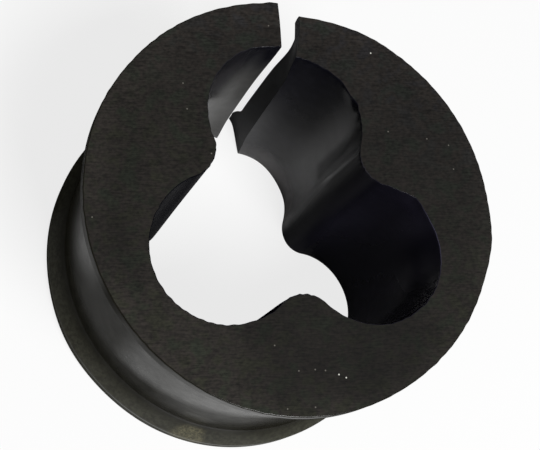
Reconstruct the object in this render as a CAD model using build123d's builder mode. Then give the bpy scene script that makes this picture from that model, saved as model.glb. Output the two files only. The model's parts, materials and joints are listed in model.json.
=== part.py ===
from build123d import *
from math import cos, radians, sin, sqrt
import os

# A split rubber spacer, moulded in one piece. It is a short spool whose bore is a
# trefoil: three round lobes hold three tubes side by side. One knife cut opens the
# wall of the lobe at +Y, and the jaw on the cut's left has taken a set, so it stands
# open, turned about the thinnest wall of the next lobe.
#
# Frame: +Z is the spool's axis, the origin is where that axis meets the bottom face,
# and the cut faces +Y. Millimetres and degrees.

# Driving dimensions: the spool
OUTER_D = 40.0  # over both flanges
HEIGHT = 28.0
RIM_T = 1.8  # thickness of a flange at its rim
WAIST_DEPTH = 1.5  # how far the waist lies below the flanges
SHOULDER_H = 2.4  # height of the slope from the waist out to the lower flange
UPPER_FILLET_R = 0.4  # where the waist meets the upper flange
LOWER_FILLET_R = 2.5  # where the waist meets the lower flange's slope

# Driving dimensions: the trefoil bore
TUBE_D = 14.0  # each lobe takes a tube of this diameter
LOBE_OFFSET = 8.4  # from the spool's axis to a lobe's axis
RIDGE_R = 3.2  # rounding of the ridge between two lobes
LOBE_ANGLES = (90.0, 210.0, 330.0)

# Driving dimensions: the cut and the sprung jaw
CUT_X = 1.3  # the cut misses the middle of its lobe by this much
JAW_OPEN_DEG = 5.6  # how far the jaw has turned away from the cut
HINGE_ANGLE = 210.0  # the jaw bends at the lobe on this side

OUTER_R = OUTER_D / 2
WAIST_R = OUTER_R - WAIST_DEPTH
LOBE_R = TUBE_D / 2

# A ridge's rounding touches the lobes on both sides from within the rubber. Its centre
# lies midway between two lobes, LOBE_R + RIDGE_R away from both lobe axes.
RIDGE_OFFSET = LOBE_OFFSET / 2 + sqrt((LOBE_R + RIDGE_R) ** 2 - 0.75 * LOBE_OFFSET**2)

# From a lobe's axis, the turn between its outermost point and its last point of wall.
ridge_along = RIDGE_OFFSET * cos(radians(60)) - LOBE_OFFSET
ridge_across = RIDGE_OFFSET * sin(radians(60))
LOBE_HALF_ARC = Vector(ridge_along, ridge_across).get_angle(Vector(1, 0))
RIDGE_HALF_ARC = LOBE_HALF_ARC - 60


def polar(radius, angle):
    """A point in the XY plane, at this radius and angle from the spool's axis."""
    return Vector(radius * cos(radians(angle)), radius * sin(radians(angle)))


# ------------------------------------------------------------- the spool as moulded
with BuildPart() as bush:
    with BuildSketch(Plane.XZ) as spool_section:
        with BuildLine():
            Polyline(
                (0, 0),
                (OUTER_R, 0),
                (OUTER_R, RIM_T),
                (WAIST_R, RIM_T + SHOULDER_H),
                (WAIST_R, HEIGHT - RIM_T),
                (OUTER_R, HEIGHT - RIM_T),
                (OUTER_R, HEIGHT),
                (0, HEIGHT),
                close=True,
            )
        make_face()
        waist_corners = spool_section.vertices().group_by(Axis.X)[1].sort_by(Axis.Y)
        fillet(waist_corners.first, LOWER_FILLET_R)
        fillet(waist_corners.last, UPPER_FILLET_R)
    revolve(axis=Axis.Z)

    with BuildSketch() as trefoil:
        with BuildLine():
            for angle in LOBE_ANGLES:
                CenterArc(polar(LOBE_OFFSET, angle), LOBE_R, angle - LOBE_HALF_ARC, 2 * LOBE_HALF_ARC)
                ridge_angle = angle + 60
                CenterArc(
                    polar(RIDGE_OFFSET, ridge_angle),
                    RIDGE_R,
                    ridge_angle + 180 - RIDGE_HALF_ARC,
                    2 * RIDGE_HALF_ARC,
                )
        make_face()
    extrude(amount=HEIGHT, mode=Mode.SUBTRACT)

# ------------------------------------------- the jaw, from the cut round to its hinge
hinge = polar(LOBE_OFFSET + LOBE_R, HINGE_ANGLE)
beyond = OUTER_D

with BuildSketch() as jaw_area:
    with BuildLine():
        Polyline(
            (CUT_X, beyond),
            (CUT_X, LOBE_OFFSET),
            hinge,
            hinge + polar(beyond, HINGE_ANGLE),
            (-beyond * 2, beyond),
            close=True,
        )
    make_face()

with BuildPart() as jaw:
    add(bush.part)
    extrude(jaw_area.sketch, amount=HEIGHT, mode=Mode.INTERSECT)

# ----------------------------------------- the spacer as it lies, with its jaw sprung
hinge_axis = Axis((hinge.X, hinge.Y, 0), (0, 0, 1))

with BuildPart() as rubber_spacer:
    add(bush.part)
    extrude(jaw_area.sketch, amount=HEIGHT, mode=Mode.SUBTRACT)
    add(jaw.part.rotate(hinge_axis, JAW_OPEN_DEG))

rubber_spacer.part.label = "rubber_spacer"

os.makedirs("parts", exist_ok=True)
export_step(rubber_spacer.part, "parts/rubber_spacer.step")
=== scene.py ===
"""A split rubber spacer with a trefoil bore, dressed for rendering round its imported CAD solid.

The moulding is one closed skin, worked out as six grids over a bent block. Its turn runs round
the spool from the right face of the cut to the left one, its depth from the bore wall out to the
flanges, and its rise from the lower face to the upper one. Lengths are metres, in the CAD frame.
"""

import json
from math import hypot, radians
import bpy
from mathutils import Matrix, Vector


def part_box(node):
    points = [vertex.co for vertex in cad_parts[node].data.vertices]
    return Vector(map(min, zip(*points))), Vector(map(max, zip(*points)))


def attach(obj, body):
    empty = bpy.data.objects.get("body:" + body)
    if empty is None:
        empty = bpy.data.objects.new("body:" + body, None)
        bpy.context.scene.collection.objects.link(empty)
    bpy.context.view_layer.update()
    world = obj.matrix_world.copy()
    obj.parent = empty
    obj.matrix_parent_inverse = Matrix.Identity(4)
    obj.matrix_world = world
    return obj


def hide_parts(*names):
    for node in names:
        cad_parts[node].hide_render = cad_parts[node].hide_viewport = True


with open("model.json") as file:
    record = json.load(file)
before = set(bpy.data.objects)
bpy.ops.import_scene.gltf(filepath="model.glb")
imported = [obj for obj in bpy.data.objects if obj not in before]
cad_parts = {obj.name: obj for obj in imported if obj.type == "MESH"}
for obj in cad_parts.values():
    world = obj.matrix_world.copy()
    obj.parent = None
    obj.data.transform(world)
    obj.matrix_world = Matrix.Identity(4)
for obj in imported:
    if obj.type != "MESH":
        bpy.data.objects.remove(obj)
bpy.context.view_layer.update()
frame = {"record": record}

from types import SimpleNamespace

import bpy
import numpy as np
from mathutils import Quaternion, Vector

MM = 0.001

# ------------------------------------------------------------------ driving dimensions
MOUNTS = {mount["name"]: mount for mount in frame["record"]["mounts"]}
LOBE = MOUNTS["tube_lobe_right"]
LOBE_R = LOBE["dims"]["r_mm"] * MM
LOBE_OFFSET = hypot(LOBE["pos_m"][0], LOBE["pos_m"][1])

solid_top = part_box("rubber_spacer")[1]
HEIGHT = solid_top.z
OUTER_R = solid_top.x
TOP = HEIGHT / MM  # the upper face's height in millimetres, for places given so

RIM_T = 1.8 * MM
WAIST_DEPTH = 1.45 * MM
SHOULDER_H = 2.4 * MM
WAIST_R = OUTER_R - WAIST_DEPTH
BORE_REACH = LOBE_OFFSET + LOBE_R
RIDGE_R = 3.2 * MM

# The section's roundings, from the lower face's edge up to the upper face's, then the bore's
LOWER_EDGE_R = 0.1 * MM
LOWER_RIM_R = 0.8 * MM
LOWER_WAIST_R = 2.5 * MM
UPPER_WAIST_R = 0.4 * MM
UPPER_RIM_R = 0.2 * MM
UPPER_EDGE_R = 0.12 * MM
BORE_EDGE_R = 0.08 * MM

# The cut is a wandering knife's: its x at the lower and the upper face, by the bore and the rim
CUT_X_LOW_BORE, CUT_X_LOW_RIM = 1.9 * MM, 1.25 * MM
CUT_X_HIGH_BORE, CUT_X_HIGH_RIM = 1.05 * MM, 1.42 * MM

# The sprung jaws: the arc that bends, in degrees from the back, and how far each jaw turns
BEND_FROM, BEND_TO = 35.0, 95.0
LEFT_TURN_LOW, LEFT_TURN_HIGH = 6.2, 5.1
RIGHT_TURN_LOW, RIGHT_TURN_HIGH = -0.2, 0.5
HINGE_R = 17.5 * MM

# Where the moulding is out of true, worn or torn, all in millimetres: the place, how far round
# it the skin is moved along x, y and z, and the move itself
UNEVEN = [
    ((-18.6, -7.9, 0.9), (4, 5, 4), (-0.12, -0.05, 0)),  # lower flange, swollen at the back left
    ((9.4, -17.6, 27), (9, 7, 4), (-0.08, 0.16, 0)),  # upper rim, flat at the back right
    ((19.7, -2.9, 27.5), (2.4, 3, 3), (0.24, -0.04, 0)),  # upper rim, a lump on the right
    ((8.5, 18.1, 27.5), (3, 3, 3), (0.05, 0.1, 0)),  # upper rim, swollen above the right jaw
    ((-16.3, 13.7, 27.5), (5, 5, 5), (0.07, -0.06, 0)),  # upper rim, flat on the left jaw
    ((-20.5, 4, 27.5), (2.5, 4, 3), (0.1, 0, 0)),  # upper rim, flat on the left
    ((7.1, 4.9, 0), (3.2, 3.5, 9), (0.22, -0.34, 0)),  # right ridge, leaning at its lower end
    ((7.1, 8.6, 0), (3, 2.2, 8), (0.26, 0, 0)),  # middle lobe, drawn out beside that ridge
    ((-2.6, -9.6, 20), (2.5, 2.5, 14), (0.18, -0.12, 0)),  # back ridge, its left flank hollow
    ((0, -9.2, TOP), (4, 3, 2), (0, -0.15, 0)),  # back ridge, worn at the upper face
    ((-6.8, 4.7, 0), (2.5, 2.5, 10), (0.12, -0.09, 0)),  # left ridge, swollen at its lower end
    ((-12.3, -0.6, TOP), (3, 4.5, 9), (0.15, -0.06, 0)),  # left lobe, drawn in at the upper face
    ((-7.7, -13.3, TOP), (2.5, 2.5, 2), (-0.05, -0.1, 0)),  # left lobe, worn at the upper face
    ((13, -8, TOP), (3.2, 3.8, 2), (0.14, -0.07, 0)),  # right lobe, worn at the upper face
    ((8.5, -11, TOP), (3, 2, 2), (0.03, -0.15, 0)),  # right lobe, worn there too
    ((12.3, 1.2, TOP), (1.3, 1.3, 1.4), (0.27, 0.28, 0)),  # right lobe, its edge torn
    ((13.5, -4.5, 0), (3, 3, 8), (0.12, -0.08, 0)),  # right lobe, drawn out at its lower end
    ((7, 11.05, TOP), (0.6, 0.6, 0.4), (0.14, 0.06, 0)),  # middle lobe, a chip out of its edge
    ((6.25, 12.1, TOP), (0.5, 0.6, 0.8), (-0.14, -0.05, 0)),  # middle lobe, the flap beside the chip
    ((-7.95, 7.45, TOP), (0.4, 0.4, 0.6), (-0.14, 0.1, -0.1)),  # left ridge, a nick in its edge
    ((-1.6, 18.5, TOP), (1.3, 5, 7), (0.42, 0.04, 0)),  # left jaw, its end crept round
    ((-1.6, 15.2, TOP), (1.4, 2, 7), (0.15, -0.24, 0)),  # left jaw, its lobe's edge crept round
    ((-1.6, 21.3, TOP), (0.4, 0.8, 0.5), (0, 0.09, 0)),  # left jaw, a burr on the rim
    ((2.2, 20.6, 27.5), (1.4, 2.2, 2.5), (-0.38, 0, 0)),  # right jaw, its rim crept round
    ((2.2, 18.5, 22.5), (1.4, 2, 3.5), (0.4, 0, 0)),  # right jaw, hollow below the rim
    ((2.2, 14.8, TOP), (1.6, 2.5, 4), (-0.75, 0.25, 0)),  # right jaw, its lobe's edge crept round
    ((1.6, 16.5, 0), (3.5, 4.5, 3.5), (0.1, -0.45, 0)),  # right jaw, drawn in at its lower end
    ((1.3, 20, 0.8), (1.8, 1.2, 2.2), (-0.25, -0.75, 0)),  # right jaw, the flange's lost corner
    ((-0.4, 14.8, 0), (2, 2, 6), (-0.17, -0.2, 0)),  # left jaw, its lobe's edge drawn in below
]

# The trimmed edges of the upper face wander in and out: by how much, how far down it shows, how
# many waves it has, and the range from which each wave's number of crests round the spool is drawn
RAGGED_RIM = 0.012 * MM
RAGGED_BORE = 0.02 * MM
RAGGED_DEPTH = 0.6 * MM
RAGGED_WAVES = 24
RAGGED_CRESTS = (40, 125)
RIM_SEED, BORE_SEED = 1, 2

# How finely the skin is divided
TURN_STEPS = 540
DEPTH_STEPS = 20
ARC_STEPS = 5

# The share of the whole turn, on each side of the cut, whose points are drawn to the cut's face,
# and how many times their azimuth is worked out anew, since reach and azimuth hang together
DRAWN_SHARE = 0.08
DRAWN_ROUNDS = 4

# Edges that turn by more than this, in degrees, are shaded sharp
SHARP_TURN = 35


# ------------------------------------------------------------------------ the moulding
def rounded_line(corners, radii, run_steps):
    """Points along a line of straight runs whose inner corners are arcs.

    An arc of radius r at a corner that turns by an angle a starts and ends r tan(a / 2) from the
    corner, and its points are the centre plus r times a unit vector that sweeps between the two
    normals. Each run between two arcs is divided evenly into its number of steps.
    """
    corners = np.array(corners, float)
    ahead = np.diff(corners, axis=0)
    ahead /= np.linalg.norm(ahead, axis=1)[:, None]
    pieces = [corners[:1]]
    for corner, radius, before, after in zip(corners[1:-1], radii, ahead[:-1], ahead[1:]):
        turn = np.arctan2(before[0] * after[1] - before[1] * after[0], before @ after)
        reach = radius * np.tan(abs(turn) / 2)
        normal = np.array([-before[1], before[0]]) * np.sign(turn)
        centre = corner - before * reach + normal * radius
        across = np.array([-normal[1], normal[0]])
        sweep = np.linspace(0, turn, ARC_STEPS + 1)[:, None]
        pieces.append(centre - radius * (normal * np.cos(sweep) + across * np.sin(sweep)))
    pieces.append(corners[-1:])
    line = [pieces[0]]
    for start, end, steps in zip(pieces[:-1], pieces[1:], run_steps):
        share = np.linspace(0, 1, steps + 1)[1:-1, None]
        line += [start[-1] + (end[0] - start[-1]) * share, end]
    return np.concatenate(line)


def bore_radius(azimuth):
    """The trefoil: distance from the axis to the bore wall, at an azimuth in radians.

    With a as the turn from the nearest lobe's middle, the lobe gives c cos a + sqrt(r^2 - c^2
    sin^2 a). The ridge's rounding gives q cos b - sqrt(e^2 - q^2 sin^2 b), with b as the turn from
    the ridge's middle and q as the distance of the rounding's centre. They meet at a tangent.
    """
    ridge_offset = LOBE_OFFSET / 2 + np.sqrt((LOBE_R + RIDGE_R) ** 2 - 0.75 * LOBE_OFFSET**2)
    third = radians(120)
    from_lobe = np.abs((azimuth - radians(90) + third / 2) % third - third / 2)
    from_ridge = third / 2 - from_lobe
    across = LOBE_OFFSET * np.sin(from_lobe)
    lobe = LOBE_OFFSET * np.cos(from_lobe) + np.sqrt(np.maximum(LOBE_R**2 - across**2, 0))
    across = ridge_offset * np.sin(from_ridge)
    ridge = ridge_offset * np.cos(from_ridge) - np.sqrt(np.maximum(RIDGE_R**2 - across**2, 0))
    share = LOBE_R / (LOBE_R + RIDGE_R)
    touch_along = LOBE_OFFSET + (ridge_offset * np.cos(third / 2) - LOBE_OFFSET) * share
    touch_across = ridge_offset * np.sin(third / 2) * share
    return np.where(from_lobe < np.arctan2(touch_across, touch_along), lobe, ridge)


def spring(points, side, turn_low, turn_high):
    """Bends one jaw like a bow, evenly along the arc from BEND_FROM to BEND_TO.

    Side is -1 for the jaw on the cut's left and 1 for the right one. A slice at an angle t into
    the arc has made t / arc of the whole turn, about the mean place of the wall behind it. That
    place is at the middle of the arc's bent part, h sin(t / 2) / (t / 2) from the axis. The turn
    changes evenly between the lower and upper face.
    """
    x, y, z, way = points.T
    arc = radians(BEND_TO - BEND_FROM)
    bent = np.clip(side * way - radians(BEND_FROM), 0, arc)
    angle = -side * np.radians(turn_low + (turn_high - turn_low) * z / HEIGHT) * bent / arc
    middle = radians(-90) + side * (radians(BEND_FROM) + bent / 2)
    reach = HINGE_R * np.sinc(bent / (2 * np.pi))
    hinge_x, hinge_y = reach * np.cos(middle), reach * np.sin(middle)
    dx, dy = x - hinge_x, y - hinge_y
    turned_x = hinge_x + dx * np.cos(angle) - dy * np.sin(angle)
    turned_y = hinge_y + dx * np.sin(angle) + dy * np.cos(angle)
    return np.column_stack([turned_x, turned_y, z, way])


def press(points, place, reach, push):
    """Moves the skin round a place by push times exp(-(d / reach)^2), with d the distance."""
    offset = (points[:, :3] - np.array(place) * MM) / (np.array(reach) * MM)
    fall = np.exp(-(offset**2).sum(1))
    points[:, :3] += fall[:, None] * np.array(push) * MM


def skin_of_block(turns, depths, rises):
    """Numbers the outer points of a block of so many steps, and joins them into closed quads.

    Returns each point's three step numbers, the quads, and for each quad the side it lies on: 0
    and 1 for the cut faces, 2 for the bore, 3 for the outside, 4 for the lower and 5 for the
    upper face.
    """
    shape = (turns + 1, depths + 1, rises + 1)
    steps = np.indices(shape)
    last = np.array(shape).reshape(3, 1, 1, 1) - 1
    on_skin = ((steps == 0) | (steps == last)).any(axis=0)
    number = np.full(shape, -1)
    number[on_skin] = np.arange(on_skin.sum())
    quads, sides = [], []
    for axis in range(3):
        for end in (0, -1):
            sheet = np.take(number, end, axis=axis)
            ring = [sheet[:-1, :-1], sheet[1:, :-1], sheet[1:, 1:], sheet[:-1, 1:]]
            flip = (end == 0) == (axis != 1)
            side = np.stack(ring[::-1] if flip else ring, axis=-1).reshape(-1, 4)
            quads.append(side)
            sides.append(np.full(len(side), 2 * axis + (end == -1)))
    return steps[:, on_skin], np.concatenate(quads), np.concatenate(sides)


def ragged(way, height, size, seed):
    """How far a trimmed edge of the upper face stands out of line.

    It is a sum of sines of n times the azimuth with chance whole numbers n and phases, and it
    fades downwards as exp(-(d / RAGGED_DEPTH)^2), with d the depth below the face.
    """
    chance = np.random.default_rng(seed)
    crests = chance.integers(*RAGGED_CRESTS, RAGGED_WAVES)
    phases = chance.uniform(0, 2 * np.pi, RAGGED_WAVES)
    waves = np.sin(way[:, None] * crests + phases).sum(1) / np.sqrt(RAGGED_WAVES / 2)
    return size * waves * np.exp(-(((HEIGHT - height) / RAGGED_DEPTH) ** 2))


def section():
    """The outside's and the bore wall's profiles, with the same number of points.

    Each point is a distance and a height. The outside's distance is from the axis, and the bore's
    is from its wall, so it is above 0 only at the edges' roundings.
    """
    outer = rounded_line(
        [
            (OUTER_R - LOWER_EDGE_R, 0),
            (OUTER_R, 0),
            (OUTER_R, RIM_T),
            (WAIST_R, RIM_T + SHOULDER_H),
            (WAIST_R, HEIGHT - RIM_T),
            (OUTER_R, HEIGHT - RIM_T),
            (OUTER_R, HEIGHT),
            (OUTER_R - UPPER_EDGE_R, HEIGHT),
        ],
        [LOWER_EDGE_R, LOWER_RIM_R, LOWER_WAIST_R, UPPER_WAIST_R, UPPER_RIM_R, UPPER_EDGE_R],
        [1, 3, 3, 18, 2, 4, 1],
    )
    wall_steps = len(outer) - 2 * ARC_STEPS - 3
    bore = rounded_line(
        [(BORE_EDGE_R, 0), (0, 0), (0, HEIGHT), (BORE_EDGE_R, HEIGHT)],
        [BORE_EDGE_R, BORE_EDGE_R],
        [1, wall_steps, 1],
    )
    return outer, bore


def carried(share, reach_of, height):
    """Points round the axis, at these shares of the whole turn and at reach_of(azimuth).

    Near the cut the azimuth is drawn towards the cut's face, whose x changes evenly with z and
    with the distance from the axis. A point's last number is its azimuth from the back.
    """
    azimuth = radians(90) - radians(360) * share
    near_cut = np.clip(1 - np.minimum(share, 1 - share) / DRAWN_SHARE, 0, 1) ** 2
    high = height / HEIGHT
    at_bore = CUT_X_LOW_BORE + (CUT_X_HIGH_BORE - CUT_X_LOW_BORE) * high
    at_rim = CUT_X_LOW_RIM + (CUT_X_HIGH_RIM - CUT_X_LOW_RIM) * high
    drawn = np.full_like(azimuth, radians(90))
    for _ in range(DRAWN_ROUNDS):
        reach = reach_of(drawn)
        outward = (reach - BORE_REACH) / (OUTER_R - BORE_REACH)
        drawn = np.arccos((at_bore + (at_rim - at_bore) * outward) / reach)
    way = azimuth + (drawn - radians(90)) * near_cut
    reach = reach_of(way)
    return np.column_stack([reach * np.cos(way), reach * np.sin(way), height, way + radians(90)])


def moulding():
    """The spacer's skin: a block whose outer and bore profiles are carried round the axis.

    A point at depth t lies at (1 - t) B + t O, where B is the bore wall's point and O the
    outside's, both at the same turn and rise. The depths are (1 - cos(pi n / steps)) / 2, closer
    together at both walls.
    """
    outer, bore = section()
    (turn, depth, rise), quads, sides = skin_of_block(TURN_STEPS, DEPTH_STEPS, len(outer) - 1)
    outer_reach, outer_height = outer[rise].T
    bore_edge, bore_height = bore[rise].T

    def outside_at(way):
        """The outside's distance from the axis, with the upper face's trimmed edge."""
        return outer_reach + ragged(way, outer_height, RAGGED_RIM, RIM_SEED)

    def bore_at(way):
        """The bore wall's distance from the axis, with the upper face's trimmed edge."""
        return bore_radius(way) + bore_edge + ragged(way, bore_height, RAGGED_BORE, BORE_SEED)

    share = turn / TURN_STEPS
    outside = carried(share, outside_at, outer_height)
    inside = carried(share, bore_at, bore_height)
    across = (1 - np.cos(np.pi * depth / DEPTH_STEPS)) / 2
    points = inside + (outside - inside) * across[:, None]
    return points, quads, sides


def build_spacer():
    """The finished moulding: its jaws sprung, and its wear and other marks pressed in."""
    points, quads, sides = moulding()
    points = spring(points, -1, LEFT_TURN_LOW, LEFT_TURN_HIGH)
    points = spring(points, 1, RIGHT_TURN_LOW, RIGHT_TURN_HIGH)
    for place, reach, push in UNEVEN:
        press(points, place, reach, push)
    mesh = bpy.data.meshes.new("moulded_spacer")
    mesh.from_pydata(points[:, :3].tolist(), [], quads.tolist())
    mesh.polygons.foreach_set("material_index", sides.astype(np.int32))
    mesh.polygons.foreach_set("use_smooth", np.ones(len(quads), bool))
    mesh.set_sharp_from_angle(angle=radians(SHARP_TURN))
    mesh.validate()
    spacer = bpy.data.objects.new("moulded_spacer", mesh)
    bpy.context.scene.collection.objects.link(spacer)
    return spacer


# ------------------------------------------------------------------- shader expressions
class Value:
    """One socket of some nodes, so that shader maths reads as Python expressions."""

    def __init__(self, shading, socket):
        self.shading = shading
        self.socket = socket

    def maths(self, operation, *values):
        inputs = dict(enumerate(values))
        return self.shading.node("ShaderNodeMath", {"operation": operation}, inputs)

    def __add__(self, other):
        return self.maths("ADD", self, other)

    def __mul__(self, other):
        return self.maths("MULTIPLY", self, other)

    def __sub__(self, other):
        return self.maths("SUBTRACT", self, other)

    def __rsub__(self, other):
        return self.maths("SUBTRACT", other, self)

    def __pow__(self, other):
        return self.maths("POWER", self, other)

    __radd__ = __add__
    __rmul__ = __mul__

    def least(self, other):
        return self.maths("MINIMUM", self, other)

    def most(self, other):
        return self.maths("MAXIMUM", self, other)

    def rise(self, start, end):
        """0 at start and 1 at end, eased at both, and held beyond them."""
        settings = {"interpolation_type": "SMOOTHSTEP"}
        inputs = {"Value": self, "From Min": start, "From Max": end}
        return self.shading.node("ShaderNodeMapRange", settings, inputs)

    def fall(self, start, end):
        """1 at start and 0 at end, eased at both, and held beyond them."""
        return 1 - self.rise(start, end)


class Shading:
    """The nodes of a new material or world, which all come from one method."""

    def __init__(self, owner):
        self.owner = owner
        owner.use_nodes = True
        owner.node_tree.nodes.clear()

    def node(self, kind, settings=None, inputs=None, output=0):
        """Adds a node: its settings first, then its sockets' values or links. Returns an output."""
        node = self.owner.node_tree.nodes.new(kind)
        for name, setting in (settings or {}).items():
            setattr(node, name, setting)
        for name, value in (inputs or {}).items():
            if isinstance(value, Value):
                self.owner.node_tree.links.new(value.socket, node.inputs[name])
            else:
                node.inputs[name].default_value = value
        return Value(self, node.outputs[output]) if len(node.outputs) else None

    def seen_plainly(self):
        """1 for what is looked at directly or through something clear, and 0 for the rest."""
        direct = self.node("ShaderNodeLightPath", output="Is Camera Ray")
        return direct.most(self.node("ShaderNodeLightPath", output="Is Transmission Ray"))


class Finish(Shading):
    """A material of the spacer. Its places, lengths and distances are in millimetres."""

    def __init__(self, name):
        super().__init__(bpy.data.materials.new(name))
        metres = self.node("ShaderNodeTexCoord", output="Object")
        self.place = self.vector("SCALE", {0: metres, "Scale": 1 / MM})

    def vector(self, operation, inputs, output=0):
        return self.node("ShaderNodeVectorMath", {"operation": operation}, inputs, output)

    def noise(self, size, detail=2.0, rough=0.5, stretch=(1, 1, 1), turn=0.0, place=(0, 0, 0)):
        """Noise from 0 to 1 with lumps of this size, drawn out along the axes by stretch."""
        inputs = {
            "Vector": self.place,
            "Location": place,
            "Rotation": (0, 0, radians(turn)),
            "Scale": [size * times for times in stretch],
        }
        settled = self.node("ShaderNodeMapping", {"vector_type": "TEXTURE"}, inputs)
        inputs = {"Vector": settled, "Scale": 1.0, "Detail": detail, "Roughness": rough}
        return self.node("ShaderNodeTexNoise", {}, inputs)

    def blend(self, share, under, over, how="MIX"):
        """Mixes two colours, given as four numbers or as links."""
        settings = {"data_type": "RGBA", "blend_type": how}
        return self.node("ShaderNodeMix", settings, {0: share, 6: under, 7: over}, output=2)

    def layers(self, under, *coats):
        """Lays colours over the first one in turn, each given with its share."""
        for share, over in coats:
            under = self.blend(share, under, over)
        return under

    def grey(self, level):
        """A grey colour of this level, so that a number can go through colour nodes."""
        return self.node("ShaderNodeCombineColor", {}, {0: level, 1: level, 2: level})

    def along(self, direction):
        """How far the surface's point lies along a direction from the origin."""
        return self.vector("DOT_PRODUCT", {0: self.place, 1: direction}, "Value")

    def axes(self):
        """The x, y and z of the surface's point."""
        return [self.along(axis) for axis in ((1, 0, 0), (0, 1, 0), (0, 0, 1))]

    def gap(self, spot):
        """How far the surface's point lies from a spot."""
        return self.vector("DISTANCE", {0: self.place, 1: spot}, "Value")

    def near(self, spots, radius):
        """1 round any of these spots, falling from two fifths of this radius to 0 at the whole."""
        found = self.gap(spots[0])
        for spot in spots[1:]:
            found = found.least(self.gap(spot))
        return found.fall(radius * 0.4, radius)

    def beside(self, line, inner, outer):
        """1 up to an inner distance from an upright line, and 0 from the outer one."""
        x, y = line
        flat = self.vector("MULTIPLY_ADD", {0: self.place, 1: (1, 1, 0), 2: (-x, -y, 0)})
        return self.vector("LENGTH", {0: flat}, "Value").fall(inner, outer)

    def bump(self, height, depth):
        """A normal tilted by a height from 0 to 1, which stands for this depth."""
        inputs = {"Height": height, "Distance": depth * MM, "Strength": 1.0}
        return self.node("ShaderNodeBump", {}, inputs)

    def surface(self, **inputs):
        """Ends the material in a Principled shader with these inputs, named with _ for spaces."""
        named = {name.replace("_", " "): value for name, value in inputs.items()}
        shader = self.node("ShaderNodeBsdfPrincipled", {}, named)
        self.node("ShaderNodeOutputMaterial", {}, {"Surface": shader})
        return self.owner

    def filmed(self, body, film, grain, sheen=0.2, haze=0.0):
        """Ends the material in dull rubber under a glossy film of uneven weight.

        Sheen is how rough the film is, and haze is how much the bare rubber mirrors.
        """
        return self.surface(
            Base_Color=body,
            Roughness=0.55 + grain * 0.2,
            Specular_IOR_Level=haze,
            Coat_Weight=film,
            Coat_Roughness=sheen,
            Coat_IOR=FILM_IOR,
            Normal=self.bump(grain, 0.004),
        )


def tone(red, green, blue):
    """A colour written as display values from 0 to 255, as the linear colour that nodes take."""
    shown = np.array([red, green, blue]) / 255
    linear = np.where(shown <= 0.04045, shown / 12.92, ((shown + 0.055) / 1.055) ** 2.4)
    return (*linear.tolist(), 1.0)


# ---------------------------------------------------------------------------- finishes
# The trimming blade's marks run this many degrees off the x axis
COMB_TURN = 1.5

# How strongly the glossy film on the rubber bends light
FILM_IOR = 1.4

# Specks of dust on the upper face, and a dried smudge on the lower flange, in millimetres
DUST_R = 0.1
BRIGHT_DUST = [(3.0, -16.0, TOP), (3.7, -16.3, TOP), (8.7, 16.5, TOP)]
FAINT_DUST = [
    (-3.1, -13.2, TOP),
    (-0.9, -15.6, TOP),
    (0.7, -15.5, TOP),
    (1.7, -15.6, TOP),
    (-1.9, 18.8, TOP),
    (-10.5, 9.7, TOP),
    (0.5, -19.0, TOP),
    (-2.2, -19.1, TOP),
    (9.9, 8.2, TOP),
    (16.6, 4.5, TOP),
    (16.3, 7.0, TOP),
    (14.0, 7.6, TOP),
    (-10.8, 12.3, TOP),
    (-8.3, 5.3, TOP),
    (-19.8, -1.2, TOP),
]
SMUDGE = [(-5.6, -18.3, 3.2), (-6.2, -18.2, 2.4), (-5.4, -19.0, 1.8), (-6.8, -18.6, 1.6)]
SMUDGE_R = 1.7

# Where the upper face is paler, or darker where the last number is below 0: the spots in millimetres,
# how far round them it reaches, and by what share the tone changes
FACE_PATCHES = [
    ([(-10, -17, TOP), (-14, -13, TOP)], 8, 0.36),
    ([(11, -14, TOP)], 11, -0.12),
    ([(15, 4, TOP)], 14, -0.2),
    ([(-18.9, -2.9, TOP)], 4, -0.25),
    ([(-1, -12.8, TOP), (7, -13.5, TOP)], 8, -0.28),
]

# Upright lines beside the bore's wall that its painted light and its film's painted reflection change
# round, as x and y
# in millimetres: the right ridge's flank, crest, glint and hollow, and the middle lobe beside it
RIDGE_FLANK = (7, 4.2)
RIDGE_CREST = (6.8, 5.3)
RIDGE_GLINT = (6.9, 6.8)
RIDGE_HOLLOW = (6.9, 8.1)
LOBE_SIDE = (7.4, 8.6)

# Two more in the right lobe: where its tone is palest, as painted light, and where it has least film
RIGHT_PAINTED_LIGHT = (14.4, -2.8)
RIGHT_BARE = (14.6, -4.2)


def face_light(finish, comb, grain):
    """How light a flat face is: combed and grained, and paler or darker in patches.

    It is paler towards the rim, and a little towards the jaws.
    """
    patches = finish.noise(2.6, detail=3, rough=0.6)
    light = 0.2 + comb.rise(0.3, 0.7) * 0.5 + grain.rise(0.25, 0.75) * 0.8
    light = light + patches.rise(0.3, 0.7) * 0.3
    change = 0.32 * finish.gap((0, 0, TOP)).rise(17.6, 20.2)
    change = change + 0.04 * finish.along((0, 1, 0)).rise(4, 18)
    for spots, reach, share in FACE_PATCHES:
        change = change + share * finish.near(spots, reach)
    return light * (1 + change)


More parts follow.
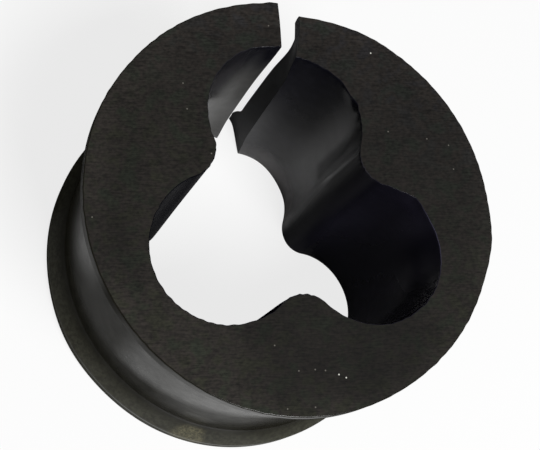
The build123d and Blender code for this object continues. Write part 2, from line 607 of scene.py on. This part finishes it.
def trimmed_rubber():
    """The two flat faces: dull, combed one way by the blade that trimmed them, lightly dusted."""
    finish = Finish("trimmed_rubber")
    comb = finish.noise(0.14, detail=3, stretch=(9, 1, 1), turn=COMB_TURN)
    grain = finish.noise(0.26, detail=2, stretch=(1.4, 1, 1), turn=COMB_TURN)
    tint = finish.noise(2, detail=3, place=(9, 4, 0))
    olive = finish.along((-0.4, -0.92, 0)).rise(-22, 3)
    body = finish.layers(
        tone(28.5, 27.5, 29),
        (olive, tone(30.5, 30.5, 23.5)),
        (tint.rise(0.35, 0.5) - tint.rise(0.5, 0.65), tone(31, 28, 25.5)),
        (tint.rise(0.5, 0.7) * 0.8, tone(27, 30.5, 24.5)),
    )
    light = finish.grey(face_light(finish, comb, grain))
    body = finish.layers(
        finish.blend(1.0, body, light, how="MULTIPLY"),
        (finish.near(BRIGHT_DUST, DUST_R) * 0.9, tone(225, 225, 215)),
        (finish.near(FAINT_DUST, DUST_R) * 0.3, tone(170, 165, 155)),
    )
    return finish.surface(
        Base_Color=body,
        Roughness=0.62 + grain * 0.2,
        Specular_IOR_Level=0.18,
        Normal=finish.bump(comb * 0.4 + grain * 0.6, 0.02),
    )


def knife_cut():
    """The two faces of the cut: near black and faintly torn, with painted light paler at the upper
    rim and painted shade darker towards the bore.
    """
    finish = Finish("knife_cut")
    tear = finish.noise(0.5, detail=4, rough=0.6)
    # Painted light where the cut meets the upper rim, and painted shade towards the bore, where the
    # film is thinner too
    pale = finish.near([(1.4, 20.5, 25), (1.4, 19, 27)], 3.6)
    painted_shade = finish.near([(1.2, 15, 27), (1.2, 16, 24)], 5) * (1 - pale)
    body = finish.layers(
        tone(24, 24, 27),
        (tear.rise(0.35, 0.7), tone(32, 32, 36)),
        (pale, tone(44, 44, 49)),
        (painted_shade, tone(16, 15, 21)),
    )
    film = (0.05 + tear * 0.18) * (1 - 0.85 * painted_shade)
    return finish.filmed(body, film, tear, sheen=0.35, haze=0.1)


def places_in_bore(finish):
    """The point's x, y and z, and shares that tell which stretch of the bore's wall it is on."""
    x, y, z = finish.axes()
    jaw_side = x.fall(-1.5, 0.5)
    return SimpleNamespace(
        x=x,
        y=y,
        z=z,
        right_lobe=y.fall(0, 4.5),
        left_lobe=x.fall(-10, -7) * y.fall(3, 6),
        middle_lobe=y.rise(4.6, 6.4) * (1 - jaw_side),
        ridge_flank=finish.beside(RIDGE_FLANK, 0.8, 2),
        jaw_side=jaw_side,
        jaw_wall=y.rise(6, 8) * jaw_side,
    )


def bore_body(finish, at, blotch):
    """The bore's tone: near black and faintly blotched, with painted light where light reaches down
    into it and painted shade in the left lobe.
    """
    # Painted light: the right lobe paler low down and at its right end, the ridge's flank paler
    # upwards, the jaw's wall paler low down and at its back, and the middle lobe's foot; painted
    # shade: the left lobe darker
    right = finish.blend(at.z.rise(4, 22), tone(60, 58, 75), tone(31, 29, 39))
    jaw_back_painted_light = at.jaw_wall * at.x.fall(-4.8, -2.6) * at.z.rise(12, 19)
    jaw_back_painted_light = jaw_back_painted_light * (1 - 0.7 * at.z.rise(22, 26))
    middle_foot_painted_light = at.middle_lobe * at.z.fall(1.2, 5.5) * (0.3 + 0.7 * at.x.rise(2.5, 6))
    return finish.layers(
        tone(16, 16, 22),
        (blotch.rise(0.35, 0.7), tone(21, 21, 28)),
        (at.right_lobe, right),
        (finish.beside(RIGHT_PAINTED_LIGHT, 1.6, 4.6), tone(56, 54, 69)),
        (at.ridge_flank * at.z.rise(2, 20), tone(42, 41, 46)),
        (at.left_lobe, tone(13, 13, 18)),
        (at.jaw_wall * at.z.fall(18, 25), tone(24, 22, 16)),
        (jaw_back_painted_light, tone(54, 53, 56)),
        (middle_foot_painted_light, tone(112, 109, 110)),
    )


def bore_film(finish, at, blotch):
    """The film's weight in the bore, a real glossy film whose weight is painted reflection: most low
    in the middle lobe and on the left jaw's wall.
    """
    # Middle lobe: painted reflection, heavier towards its foot, beside the right ridge and towards
    # the cut
    middle_gloss = 0.16 + 1.1 * (1 - at.z * (1 / TOP)) ** 3
    middle_gloss = middle_gloss + 0.24 * finish.beside(LOBE_SIDE, 1.5, 5)
    middle_gloss = middle_gloss + 0.3 * at.x.fall(1.5, 4) * at.z.fall(8, 21)
    crest = finish.beside(RIDGE_CREST, 0.5, 1.5)
    middle_gloss = middle_gloss * (1 - (0.3 + 0.35 * at.z.rise(16, 21)) * crest)
    # A painted glint along the right ridge, and a duller painted hollow beside it
    middle_gloss = middle_gloss + 0.5 * finish.beside(RIDGE_GLINT, 0.3, 1.2) * at.z.rise(15, 19)
    dull = finish.beside(RIDGE_HOLLOW, 0.4, 1.4) * at.z.fall(22, 25)
    middle_gloss = middle_gloss * (1 - 0.45 * dull * at.z.rise(12, 15))

    # Left jaw's wall: painted reflection all over, less by the cut, at its foot and under its upper
    # edge
    by_cut = at.x.rise(-2.9, -1.2) * at.z.rise(8, 15)
    jaw = 1.05 - 0.2 * at.z.fall(6, 14) - 0.45 * by_cut - 0.3 * at.z.rise(20, 27)

    # Right lobe: full away from the back ridge, but little high at the right end or by the edge
    bare = finish.near([(14, -6, 26)], 11) * finish.beside(RIGHT_BARE, 1.6, 4.6)
    under_edge = at.z.rise(25.2, 27) * at.y.rise(-6.5, -4.5)
    right = at.x.rise(2, 5) * (1 - 0.9 * bare) * (1 - 0.6 * under_edge)

    film = middle_gloss * at.middle_lobe + jaw * at.jaw_wall + right * at.right_lobe
    film = film + 0.13 * at.ridge_flank + 0.1 * at.left_lobe
    film = film.least(1.0) * (0.8 + 0.4 * blotch)
    return film * (1 - 0.5 * at.jaw_side * at.z.rise(26.8, 27.9))


def moulded_bore():
    """The bore's wall: black, faintly blotched, and glossy under a film whose weight is painted
    reflection.
    """
    finish = Finish("moulded_bore")
    blotch = finish.noise(1.1, detail=4, rough=0.6)
    at = places_in_bore(finish)
    grain = blotch * at.x.rise(-9, -6) * at.y.rise(0, 5)
    return finish.filmed(bore_body(finish, at, blotch), bore_film(finish, at, blotch), grain)


def outside_body(finish, z, flange, speckle, blotch):
    """The outside's own tone: black on the waist, and olive on the flange with its smudge."""
    mottle = finish.noise(0.5, detail=4, rough=0.7, place=(2, 0, 0))
    waist_body = finish.blend(blotch.rise(0.35, 0.7), tone(26, 25, 20), tone(32, 31, 25))
    flange_body = finish.blend(mottle.rise(0.35, 0.65), tone(42, 41, 34), tone(57, 57, 47))
    dried = finish.near(SMUDGE, SMUDGE_R) * z.fall(3.3, 4.1) * (0.25 + 0.75 * speckle.rise(0.4, 0.65))
    return finish.layers(waist_body, (flange, flange_body), (dried * 0.36, tone(140, 134, 104)))


def waist_film(finish, x, y, z, speckle):
    """The film's weight on the waist, as painted reflection: heaviest high at the front, and in a
    band at the left.
    """
    front = finish.along((-0.407, -0.914, 0)).rise(15.5, 17.6) * (1 - 0.5 * x.rise(-4, 2))
    glow = finish.along((-0.309, -0.951, 0)).rise(17.2, 18.9)
    high = finish.along((-0.45, 0, 1)).rise(15.1, 19.5)
    left = finish.along((-0.985, 0.174, 0)).rise(16.4, 18.9)
    left = left * (z + y.most(-4)).rise(8, 17)
    left = left * (1 - 0.85 * y.rise(-3, 1) * (z - y).fall(6, 18))
    film = 0.08 + 0.22 * glow + (0.06 + 0.33 * front) * high + 0.5 * left
    # A faint streak and a spot low at the front, and a speckled spot further left, all painted
    # reflection
    film = film + 0.06 * front * z.fall(6, 10) + 0.16 * finish.near([(-6.1, -17.6, 7.8)], 2.6)
    return film + 0.5 * speckle.rise(0.58, 0.72) * finish.near([(-13, -13.6, 14)], 4)


def outside_film(finish, flange, speckle, blotch):
    """The film's weight outside, as painted reflection: the waist's, more on the flange, and little
    on both rims.
    """
    x, y, z = finish.axes()
    front = finish.along((-0.375, -0.927, 0)).rise(13, 17.6) * (1 - 0.4 * x.rise(-11, -5))
    film = waist_film(finish, x, y, z, speckle) + flange * (0.08 + 0.17 * front)
    film = film * (1 - 0.8 * z.fall(1.2, 1.7))
    film = film * (1 + 0.4 * flange * y.rise(-1, 3)) * (1 - 0.8 * flange * y.rise(5.2, 7))
    under_edge = x.rise(-4.5, -2.5) * z.fall(26.9, 27.4)
    upper_rim = (0.65 - 0.5 * x.rise(-15, -8) + 0.75 * under_edge) * z.rise(25.8, 26.3)
    return film * (1 - upper_rim) * (0.7 + 0.6 * blotch)


def moulded_outside():
    """The waist and the rims: a real film, glossy high on the waist as painted reflection, dull and
    dusty on the lower flange.
    """
    finish = Finish("moulded_outside")
    z = finish.along((0, 0, 1))
    blotch = finish.noise(1.3, detail=4, rough=0.6)
    speckle = finish.noise(0.22, detail=3, rough=0.7)
    flange = z.fall(2.2, 4.6)
    body = outside_body(finish, z, flange, speckle, blotch)
    return finish.filmed(body, outside_film(finish, flange, speckle, blotch), blotch)


spacer = build_spacer()
cut_finish = knife_cut()
face_finish = trimmed_rubber()
# One finish for each side, in the order in which skin_of_block numbers them
for finished in (cut_finish, cut_finish, moulded_bore(), moulded_outside(), face_finish, face_finish):
    spacer.data.materials.append(finished)

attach(spacer, "root")
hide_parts("rubber_spacer")


# -------------------------------------------------------------------------- the studio
FLOOR_HALF = 0.6  # half the floor's width, in metres
FLOOR_PALE = 0.9  # how much light it throws back
FLOOR_GLOW = 0.80  # how much of the floor's look is plain white, where it is seen directly
FILL = 0.10  # how strong the white light from all round is


def lit_floor():
    """A pale floor that keeps a soft shadow, and looks near white where it is seen directly."""
    paint = Shading(bpy.data.materials.new("pale_floor"))
    pale = (FLOOR_PALE, FLOOR_PALE, FLOOR_PALE, 1)
    matt = paint.node("ShaderNodeBsdfDiffuse", {}, {"Color": pale})
    white = paint.node("ShaderNodeEmission", {}, {"Color": (1, 1, 1, 1), "Strength": 1.0})
    glow = paint.seen_plainly() * FLOOR_GLOW
    mixed = paint.node("ShaderNodeMixShader", {}, {0: glow, 1: matt, 2: white})
    paint.node("ShaderNodeOutputMaterial", {}, {"Surface": mixed})
    return paint.owner


def white_studio():
    """White all round: plain white where it is seen directly, and a weak light elsewhere."""
    studio = Shading(bpy.data.worlds.new("studio"))
    strength = FILL + (1 - FILL) * studio.seen_plainly()
    inputs = {"Color": (1, 1, 1, 1), "Strength": strength}
    background = studio.node("ShaderNodeBackground", {}, inputs)
    studio.node("ShaderNodeOutputWorld", {}, {"Surface": background})
    return studio.owner


def soft_lamp(name, place, size, watts):
    """A square lamp of this size in metres, turned to face the middle of the spacer."""
    data = bpy.data.lights.new(name, "AREA")
    data.size = size
    data.energy = watts
    lamp = bpy.data.objects.new(name, data)
    bpy.context.scene.collection.objects.link(lamp)
    lamp.location = place
    toward = Vector((0, 0, HEIGHT / 2)) - lamp.location
    lamp.rotation_euler = toward.to_track_quat("-Z", "Y").to_euler()


floor_mesh = bpy.data.meshes.new("floor")
corners = [(-FLOOR_HALF, -FLOOR_HALF, 0), (FLOOR_HALF, -FLOOR_HALF, 0)]
corners += [(FLOOR_HALF, FLOOR_HALF, 0), (-FLOOR_HALF, FLOOR_HALF, 0)]
floor_mesh.from_pydata(corners, [], [(0, 1, 2, 3)])
floor_mesh.materials.append(lit_floor())
floor = bpy.data.objects.new("floor", floor_mesh)
bpy.context.scene.collection.objects.link(floor)

bpy.context.scene.world = white_studio()
soft_lamp("front_lamp", place=(0.12, -0.26, 0.48), size=0.20, watts=3.3)

# -------------------------------------------------------------------------- the camera
# Where it stands and looks, its roll in degrees, and its lens and sensor in millimetres
EYE = Vector((-36.7, -32.3, 141.95)) * MM
AIM = Vector((-2.9, -1.65, 28.0)) * MM
ROLL = 46.7
LENS = 86.16
SENSOR = 36

camera_data = bpy.data.cameras.new("camera")
camera_data.sensor_width = SENSOR
camera_data.lens = LENS
camera_data.clip_start = 5 * MM
camera = bpy.data.objects.new("camera", camera_data)
bpy.context.scene.collection.objects.link(camera)
camera.location = EYE
upright = (AIM - EYE).to_track_quat("-Z", "Y")
camera.rotation_euler = (upright @ Quaternion((0, 0, 1), radians(ROLL))).to_euler()
bpy.context.scene.camera = camera
bpy.context.scene.view_settings.view_transform = "Standard"
